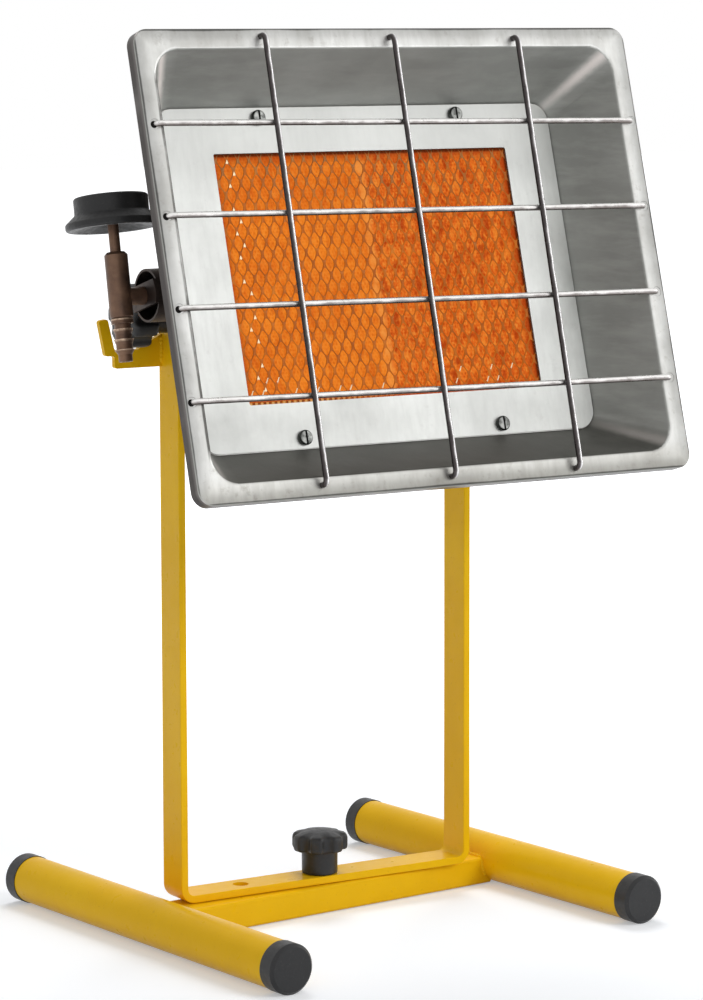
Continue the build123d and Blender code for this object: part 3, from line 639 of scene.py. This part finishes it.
def add_piece(name, build, material, body, smooth=True, replaces=()):
    """Makes a mesh piece from a function that fills a bmesh, and ties it to its body."""
    mesh = bpy.data.meshes.new(name)
    grown = bmesh.new()
    build(grown)
    bmesh.ops.recalc_face_normals(grown, faces=grown.faces)
    grown.to_mesh(mesh)
    grown.free()
    mesh.materials.append(material)
    for polygon in mesh.polygons:
        polygon.use_smooth = smooth
    piece = bpy.data.objects.new(name, mesh)
    bpy.context.scene.collection.objects.link(piece)
    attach(piece, body)
    if replaces:
        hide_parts(*replaces)
    return piece


def turn(count):
    """Evenly spaced angles round a full turn."""
    return [2 * math.pi * k / count for k in range(count)]


def loft_rings(grown, rings):
    """Joins rings of points into a closed skin; a ring of one point is a pole."""
    made = [[grown.verts.new(point) for point in ring] for ring in rings]
    for lower, upper in zip(made, made[1:]):
        count = max(len(lower), len(upper))
        for i in range(count):
            j = (i + 1) % count
            if len(lower) == 1:
                grown.faces.new((lower[0], upper[j], upper[i]))
            elif len(upper) == 1:
                grown.faces.new((lower[i], lower[j], upper[0]))
            else:
                grown.faces.new((lower[i], lower[j], upper[j], upper[i]))
    if len(made[0]) > 2:
        grown.faces.new(list(reversed(made[0])))
    if len(made[-1]) > 2:
        grown.faces.new(made[-1])


# ---- Burner mesh ----------------------------------------------------------------------------

# Its expanded metal, in millimetres: a cell's width and height, and an opening's half of each
CELL = (6.42, 12.3)
OPENING = (2.56, 4.35)
OPENING_ROUNDING = 1.55  # 1 is a diamond and 2 an ellipse
CELL_STEPS = 4
MESH_HALF = (94.5, 69.0)
STRAND_LEAN = 0.30
STRAND_THICKNESS = 0.55
# Where some facets catch the light, counted round their cell: a column at the left, a band at the bottom
GLINT_U = (-82.5, -76.5)
GLINT_U_CHANCE, GLINT_U_FACETS = 0.85, (3, 4)
GLINT_V = (-60, -45)
GLINT_V_CHANCE, GLINT_V_FACETS = 0.16, (9, 10)


def cell_outline():
    """Matching points of a mesh cell's diamond and of its rounded opening, in millimetres."""
    corners = ((-1, 0), (0, 1), (1, 0), (0, -1))
    power = OPENING_ROUNDING
    pairs = []
    for k in range(4):
        a, b = corners[k], corners[(k + 1) % 4]
        for n in range(CELL_STEPS):
            t = n / CELL_STEPS
            x, y = a[0] + (b[0] - a[0]) * t, a[1] + (b[1] - a[1]) * t
            outer = (x * CELL[0] / 2, y * CELL[1] / 2)
            spread = (abs(outer[0]) / OPENING[0]) ** power + (abs(outer[1]) / OPENING[1]) ** power
            reach = spread ** (-1 / power)
            pairs.append((outer, (outer[0] * reach, outer[1] * reach)))
    return pairs


def expanded_mesh(grown):
    """Expanded-metal mesh: rounded diamond openings whose strands lean, as slit and stretched sheet."""
    chance = random.Random(7)
    half_u, half_v = MESH_HALF
    depth = (MESH_BACK + FLOOR_FRONT) / 2
    verts = {}

    def vert(u, v, w):
        key = (round(u, 3), round(v, 3), round(w, 3))
        if key not in verts:
            verts[key] = grown.verts.new(HEAD @ Vector((u * MM, v * MM, w * MM)))
        return verts[key]

    outline = cell_outline()
    columns = int(2 * half_u / CELL[0]) + 2
    rows = int(2 * half_v / CELL[1]) + 2
    for j in range(-rows, rows + 1):
        for i in range(-columns, columns + 1):
            if (i + j) % 2:
                continue
            cu, cv = i * CELL[0] / 2, j * CELL[1] / 2
            if abs(cu) + CELL[0] / 2 > half_u or abs(cv) + CELL[1] / 2 > half_v:
                continue
            outer = [vert(cu + p[0], cv + p[1], depth) for p, q in outline]
            inner = [vert(cu + q[0], cv + q[1], depth - STRAND_LEAN * q[1] / OPENING[1])
                     for p, q in outline]
            glint = GLINT_U[0] < cu < GLINT_U[1] and chance.random() < GLINT_U_CHANCE
            low = GLINT_V[0] < cv < GLINT_V[1] and chance.random() < GLINT_V_CHANCE
            for k in range(len(outline)):
                m = (k + 1) % len(outline)
                face = grown.faces.new((outer[k], outer[m], inner[m], inner[k]))
                # these facets take the painted highlight
                pale = (glint and k in GLINT_U_FACETS) or (low and k in GLINT_V_FACETS)
                face.material_index = 1 if pale else 0


burner_mesh = add_piece("expanded_mesh", expanded_mesh, MESH, "head", smooth=False,
                        replaces=("burner_mesh",))
burner_mesh.data.materials.append(MESH_GLINT)
thicken = burner_mesh.modifiers.new("thickness", "SOLIDIFY")
thicken.thickness = STRAND_THICKNESS * MM
thicken.offset = 0.0

# ---- Star knobs -----------------------------------------------------------------------------

LOBES = 7
LOBE_STEPS = 18
# Shares of a knob's radius: a flute's radius and depth, the lobes' rounding, and where the top is round
FLUTE_SHARE, FLUTE_DEPTH_SHARE = 0.28, 0.17
LOBE_BLEND = 0.07
ROUND_SHARE = 0.93
# Sizes in millimetres
HUB_RADIUS, HUB_HEIGHT = 9.6, 12.5
BASE_KNOB_RADIUS, BASE_KNOB_DOME = 15.0, 1.6
TILT_KNOB_RADIUS, TILT_KNOB_DOME = 16.5, 0.5
TILT_KNOB_TURN = math.radians(12.86)


def star_outline(angle, radius):
    """The reach of a star knob at an angle, with rounded lobes."""
    flute, depth = radius * FLUTE_SHARE, radius * FLUTE_DEPTH_SHARE
    centre = radius + flute - depth
    step = 2 * math.pi / LOBES
    off = (angle + step / 2) % step - step / 2
    inside = flute ** 2 - (centre * math.sin(off)) ** 2
    if inside <= 0:
        return radius
    reach = centre * math.cos(off) - math.sqrt(inside)
    soft = radius * LOBE_BLEND
    h = max(0.0, min(1.0, 0.5 + 0.5 * (radius - reach) / soft))
    return radius * (1 - h) + reach * h - soft * h * (1 - h)


def star_knob(place, height, radius, dome):
    """A moulded star knob on a hub, in a frame whose z is its axis and whose origin is its seat."""
    # radius, height
    hub = [(HUB_RADIUS - 0.7, 0.0), (HUB_RADIUS - 0.15, 0.2), (HUB_RADIUS, 0.8),
           (HUB_RADIUS, HUB_HEIGHT * 0.5), (HUB_RADIUS + 0.1, HUB_HEIGHT - 1.4),
           (HUB_RADIUS + 0.5, HUB_HEIGHT - 0.3), (HUB_RADIUS + 1.3, HUB_HEIGHT)]
    low, high = HUB_HEIGHT, height - dome
    # share of the outline, height, how lobed
    head = [(0.90, low + 0.1, 1), (0.955, low + 0.45, 1), (0.985, low + 1.1, 1), (1.0, low + 2.2, 1),
            (1.0, high - 3.2, 1), (0.985, high - 2.0, 1), (0.95, high - 1.1, 1), (0.90, high - 0.55, 1),
            (0.82, high - 0.2, 0.8), (0.70, height - dome * 0.75, 0.3), (0.52, height - dome * 0.36, 0),
            (0.34, height - dome * 0.14, 0), (0.16, height - dome * 0.03, 0)]
    angles = turn(LOBES * LOBE_STEPS)

    def reach_of(angle, share, lobed):
        return share * (radius * ROUND_SHARE * (1 - lobed) + star_outline(angle, radius) * lobed)

    def ring(reaches, z):
        return [place @ (Vector((reach * math.cos(angle), reach * math.sin(angle), z)) * MM)
                for angle, reach in zip(angles, reaches)]

    def build(grown):
        rings = [ring([reach] * len(angles), z) for reach, z in hub]
        for share, z, lobed in head:
            rings.append(ring([reach_of(angle, share, lobed) for angle in angles], z))
        rings.append([place @ Vector((0, 0, height * MM))])
        loft_rings(grown, rings)

    return build


low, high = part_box("base_knob")
place = Matrix.Translation((SWIVEL.x, SWIVEL.y, low.z))
base_knob = star_knob(place, (high.z - low.z) / MM, BASE_KNOB_RADIUS, BASE_KNOB_DOME)
add_piece("base_star_knob", base_knob, BLACK, "base_knob", replaces=("base_knob",))
for side, name in SIDES:
    low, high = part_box("tilt_knob_" + name)
    seat = high.x if side < 0 else low.x
    place = Matrix.Translation((seat, PIVOT.y, PIVOT.z)) @ Matrix.Rotation(side * math.pi / 2, 4, "Y")
    place = place @ Matrix.Rotation(TILT_KNOB_TURN, 4, "Z")
    tilt_knob = star_knob(place, (high.x - low.x) / MM, TILT_KNOB_RADIUS, TILT_KNOB_DOME)
    add_piece("tilt_star_knob_" + name, tilt_knob, DARK_WHEEL, "tilt_knob_" + name,
              replaces=("tilt_knob_" + name,))

# ---- Welds ----------------------------------------------------------------------------------

# A bead's rings and ripples, and its radius on the crossbar's top and sides and at the hook, in millimetres
BEAD_STEP, RIPPLE_PITCH = 0.55, 2.1
BAR_TOP_BEAD, BAR_SIDE_BEAD, HOOK_BEAD = 1.5, 1.25, 1.3
# Shares of a bead's radius: how high the ripples are, how uneven, an end's size and how long it tapers
RIPPLE, UNEVEN = 0.14, 0.06
END_SIZE, END_TAPER = 0.25, 1.4
BEAD_SIDES = 12


def bead(points, radius, seed):
    """A weld bead along a path in millimetres, with the ripples that welding leaves."""
    chance = random.Random(seed)
    lengths = [0.0]
    for a, b in zip(points, points[1:]):
        lengths.append(lengths[-1] + (b - a).length)
    count = max(6, int(lengths[-1] / BEAD_STEP))
    rings = []
    for k in range(count + 1):
        along = lengths[-1] * k / count
        i = max(j for j in range(len(points) - 1) if lengths[j] <= along + 1e-9)
        t = (along - lengths[i]) / max(1e-9, lengths[i + 1] - lengths[i])
        centre = points[i].lerp(points[i + 1], min(1, t))
        direction = (points[i + 1] - points[i]).normalized()
        side = direction.orthogonal().normalized()
        up = direction.cross(side)
        ends = min(1.0, END_SIZE + min(along, lengths[-1] - along) / (END_TAPER * radius))
        ripple = RIPPLE * math.sin(along * 2 * math.pi / RIPPLE_PITCH)
        size = radius * ends * (1 + ripple + chance.uniform(-UNEVEN, UNEVEN))
        rings.append([(centre + (side * math.cos(a) + up * math.sin(a)) * size) * MM
                      for a in turn(BEAD_SIDES)])

    def build(grown):
        loft_rings(grown, rings)

    return build


def moved(matrix, *points):
    """Points in millimetres, from a frame into the row frame."""
    return [(matrix @ Vector(tuple(c * MM for c in p))) / MM for p in points]


# The foot tubes' axes and radius, and the crossbar's top and half depth, in the base's frame
FOOT_X, FOOT_Z, FOOT_R = 115.0, 12.9, 12.5
BAR_TOP, BAR_HALF = 15.4, 12.5
# How the seams run: across the bar's top, down its front and back, and up behind the hook
TOP_SEAM_Y = (-BAR_HALF + 0.6, -4, 4, BAR_HALF - 0.6)
SIDE_SEAM_Z = (14.4, 12, 9, 6.5, 4.5)
HOOK_SEAM = ((-90.1, 7.1, 298.4), (-90.1, 7.0, 305), (-90.1, 7.1, 313.0))


def foot_side(z):
    """How far out the inner side of a foot tube is at a height."""
    return FOOT_X - math.sqrt(FOOT_R ** 2 - (z - FOOT_Z) ** 2)


for side, name in SIDES:
    top = moved(BASE, *[(side * foot_side(BAR_TOP), y, BAR_TOP - 0.3) for y in TOP_SEAM_Y])
    add_piece("weld_bar_top_" + name, bead(top, BAR_TOP_BEAD, 11 + side), YELLOW, "base")
    for face, face_name in ((-1, "front"), (1, "back")):
        path = moved(BASE, *[(side * (foot_side(z) - 0.2), face * (BAR_HALF - 0.2), z)
                             for z in SIDE_SEAM_Z])
        add_piece("weld_bar_%s_%s" % (face_name, name), bead(path, BAR_SIDE_BEAD, 21 + side + face),
                  YELLOW, "base")

add_piece("weld_hook", bead(moved(YOKE, *HOOK_SEAM), HOOK_BEAD, 5), YELLOW, "yoke")


# Half sizes of a spot weld's nugget, in millimetres
NUGGET = (1.45, 1.45, 0.75)


def spot_weld(centre, seed):
    """A small squashed nugget where two of the guard's wires are welded."""
    chance = random.Random(seed)

    def build(grown):
        bmesh.ops.create_icosphere(grown, subdivisions=3, radius=1.0)
        for vert in grown.verts:
            wobble = 1 + chance.uniform(-0.05, 0.05)
            local = Vector([c * half for c, half in zip(vert.co, NUGGET)]) * wobble
            vert.co = GUARD @ ((Vector(centre) + local) * MM)

    return build


for i, y in enumerate(ROW_Y):
    for j, x in enumerate(COLUMN_X):
        crossing = (x, y, RIM_REACH + 2 * WIRE_RADIUS)
        add_piece("guard_weld_%d_%d" % (i + 1, j + 1), spot_weld(crossing, 100 + 10 * i + j),
                  SPOT, "head")

# ---- Seats of the guard's rows --------------------------------------------------------------

# In millimetres, in the guard's frame: the dimple round each end of a row, and the disc of painted shade in the
# hole at its left end
SEAT_X, SEAT_RADIUS, SEAT_SINK = 142.0, 2.62, 0.10
GAP_X, GAP_RADIUS, GAP_SINK = -142.6, 1.8, 0.03
GAP_BELOW = 0.3
SEAT_SIDES = 24


def wire_seat(x, y, radius, sink):
    """A thin disc in the reflector's flange, where a guard wire goes in."""
    def build(grown):
        rings = []
        # share of the radius, height over the rim
        for share, height in ((0.94, -sink), (1.0, -sink - 0.06), (1.0, -0.5), (0.55, -0.62)):
            reach, w = radius * share, RIM_REACH + height
            rings.append([GUARD @ (Vector((x + reach * math.cos(a), y + reach * math.sin(a), w)) * MM)
                          for a in turn(SEAT_SIDES)])
        loft_rings(grown, rings)

    return build


for i, y in enumerate(ROW_Y):
    # a disc of painted shade in each row's left hole
    add_piece("row_hole_left_%d" % (i + 1), wire_seat(GAP_X, y - GAP_BELOW, GAP_RADIUS, GAP_SINK),
              HOLE_SHADE, "head")
    for side, name in SIDES:
        add_piece("row_seat_%s_%d" % (name, i + 1), wire_seat(side * SEAT_X, y, SEAT_RADIUS, SEAT_SINK),
                  SHELL, "head")

# ---- Studio ---------------------------------------------------------------------------------

FLOOR_HALF = 9.0
# The light that the floor adds for the camera grows from the heater out past its shadow
FLOOR_GLOW = (0.33, 1.0)
FLOOR_GLOW_REACH = (0.27, 0.70)
SOFT_LIGHT = 0.42


def seen_directly(tree):
    """1 for what the camera sees, also in reflections, and 0 for the light that falls on things."""
    rays = tree.nodes.new("ShaderNodeLightPath")
    seen = rays.outputs["Is Camera Ray"]
    for kind in ("Is Glossy Ray", "Is Transmission Ray"):
        either = tree.nodes.new("ShaderNodeMath")
        either.operation = "MAXIMUM"
        tree.links.new(seen, either.inputs[0])
        tree.links.new(rays.outputs[kind], either.inputs[1])
        seen = either.outputs[0]
    return seen


def studio_floor():
    """A pale floor that reads as white to the camera and still takes the heater's soft shadow."""
    mesh = bpy.data.meshes.new("floor")
    grown = bmesh.new()
    bmesh.ops.create_grid(grown, x_segments=8, y_segments=8, size=FLOOR_HALF)
    grown.to_mesh(mesh)
    grown.free()
    floor = bpy.data.objects.new("floor", mesh)
    bpy.context.scene.collection.objects.link(floor)
    s = Shader("pale_floor", Roughness=0.9, Specular_IOR_Level=0.0)
    s.colour((0.78, 0.80, 0.83, 1))
    split = s.node("SeparateXYZ", {"Vector": s.place()})
    away = s.distance(split.outputs["X"], split.outputs["Y"])
    s.feed(s.bsdf.inputs["Emission Color"], (1, 1, 1, 1))
    glow = s.times(seen_directly(s.tree), s.span(away, *FLOOR_GLOW_REACH, *FLOOR_GLOW))
    s.feed(s.bsdf.inputs["Emission Strength"], glow)
    mesh.materials.append(s.material)


def studio_world():
    """White to the camera and in reflections, and a soft even light on the heater."""
    world = bpy.data.worlds.new("studio")
    bpy.context.scene.world = world
    world.use_nodes = True
    tree = world.node_tree
    tree.nodes.clear()
    choose = tree.nodes.new("ShaderNodeMixShader")
    tree.links.new(seen_directly(tree), choose.inputs[0])
    for index, strength in ((1, SOFT_LIGHT), (2, 1.0)):
        white = tree.nodes.new("ShaderNodeBackground")
        white.inputs["Color"].default_value = (1, 1, 1, 1)
        white.inputs["Strength"].default_value = strength
        tree.links.new(white.outputs[0], choose.inputs[index])
    output = tree.nodes.new("ShaderNodeOutputWorld")
    tree.links.new(choose.outputs[0], output.inputs["Surface"])


def softbox(name, place, aim_height, size, radiance, glossy):
    """An area lamp of a given brightness that looks at a height above the floor's middle."""
    lamp = bpy.data.lights.new(name, "AREA")
    lamp.shape = "RECTANGLE"
    lamp.size, lamp.size_y = size
    lamp.energy = radiance * math.pi * size[0] * size[1]
    thing = bpy.data.objects.new(name, lamp)
    thing.location = place
    aim = Vector((0, 0, aim_height)) - Vector(place)
    thing.rotation_euler = aim.to_track_quat("-Z", "Y").to_euler()
    thing.visible_glossy = glossy
    bpy.context.scene.collection.objects.link(thing)


studio_floor()
studio_world()
# name, place, height it looks at, size, brightness, whether reflections show it
softbox("front_panel", (1.6, -2.4, 1.5), 0.30, (2.6, 2.4), 0.32, True)
softbox("key", (1.3, -2.2, 1.5), 0.20, (1.0, 1.0), 7.6, False)
softbox("side_strip", (2.6, -0.9, 0.7), 0.30, (0.45, 1.7), 4.0, True)
softbox("overhead", (0.7, 1.1, 2.3), 0.1, (1.1, 1.1), 6.5, False)
softbox("fill", (-2.2, -1.6, 0.9), 0.2, (1.6, 1.6), 1.1, False)

# ---- Camera ---------------------------------------------------------------------------------

# The camera, fitted to the heater's edges in the photograph of 703 x 1000 pixels. The fit is in the base's
# frame, level with the underside of the foot tubes.
VIEW_YAW = math.radians(37.304) - BASE_TURN
VIEW_PITCH = math.radians(6.642)
VIEW_ROLL = math.radians(-0.117)
VIEW_FROM = (-1125.55, -1517.11, 471.43)
FIT_RISE = FOOT_Z - FOOT_R
FOCAL_PIXELS = 3591.8
SHIFT_PIXELS = (-12.28, -57.32)
FRAME_HEIGHT = 1000
SENSOR = 36.0


def photo_camera():
    """The camera at the photograph's place."""
    level = math.cos(VIEW_PITCH)
    forward = Vector((math.sin(VIEW_YAW) * level, math.cos(VIEW_YAW) * level, -math.sin(VIEW_PITCH)))
    right = forward.cross(Vector((0, 0, 1))).normalized()
    up = right.cross(forward)
    turned_right = right * math.cos(VIEW_ROLL) + up * math.sin(VIEW_ROLL)
    turned_up = up * math.cos(VIEW_ROLL) - right * math.sin(VIEW_ROLL)
    place = BASE @ (Vector(VIEW_FROM) * MM) + Vector((0, 0, FIT_RISE * MM))
    data = bpy.data.cameras.new("camera")
    data.sensor_width = SENSOR
    data.lens = FOCAL_PIXELS * SENSOR / FRAME_HEIGHT
    data.shift_x = SHIFT_PIXELS[0] / FRAME_HEIGHT
    data.shift_y = SHIFT_PIXELS[1] / FRAME_HEIGHT
    data.clip_end = 50
    camera = bpy.data.objects.new("camera", data)
    matrix = Matrix((turned_right, turned_up, -forward)).transposed().to_4x4()
    matrix.translation = place
    camera.matrix_world = matrix
    bpy.context.scene.collection.objects.link(camera)
    bpy.context.scene.camera = camera


photo_camera()
bpy.context.scene.view_settings.view_transform = "Standard"
